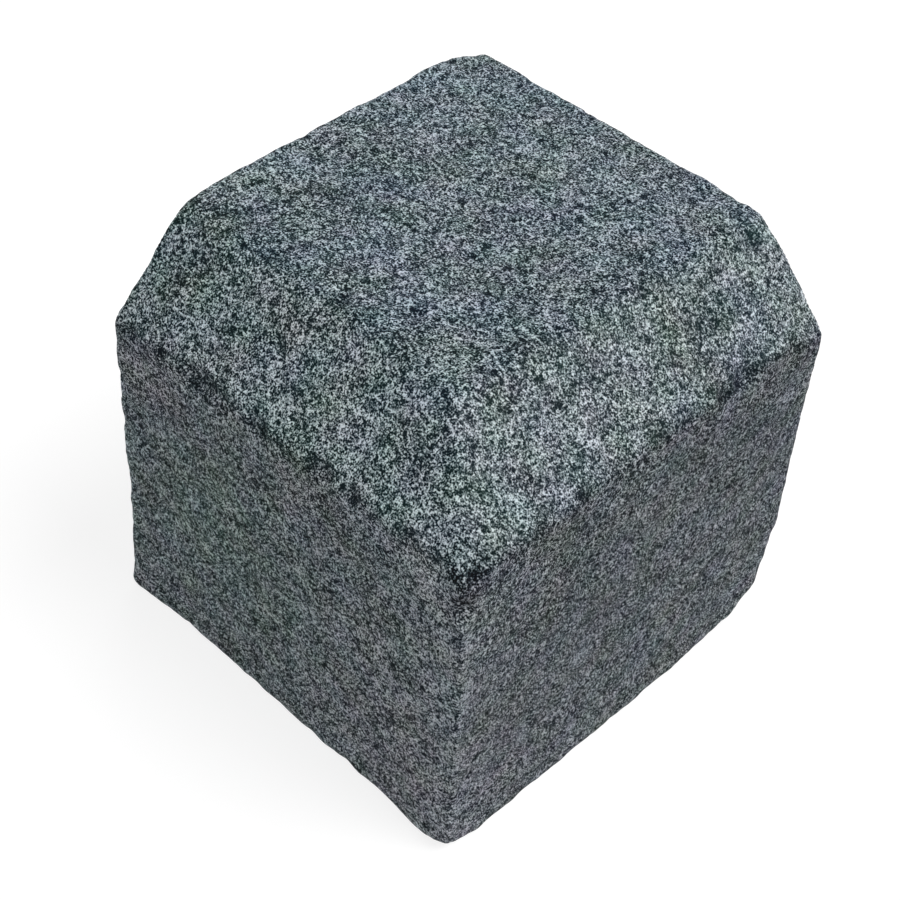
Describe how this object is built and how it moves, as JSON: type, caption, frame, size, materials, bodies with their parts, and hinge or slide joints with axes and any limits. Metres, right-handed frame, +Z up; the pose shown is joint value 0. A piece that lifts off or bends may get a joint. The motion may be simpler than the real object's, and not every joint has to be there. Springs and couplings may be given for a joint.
{
  "type": "granite corner kerb stone",
  "caption": "Granite kerb block for an external corner: its outer top edges are bevelled and meet in a mitre, and its faces are rough dressed.",
  "frame": {"origin": "middle of the bed, the face that the stone is laid on", "axes": "+Z up; -Y is the front run's bevelled face and +X the side run's; straight kerbs butt against the joint faces at -X and +Y"},
  "size_m": [0.125, 0.125, 0.125],
  "materials": {
    "granite": "rough dressed, fine light and dark grey grain, matt"
  },
  "bodies": {
    "root": {"kerb_stone": "granite"}
  },
  "joints": []
}
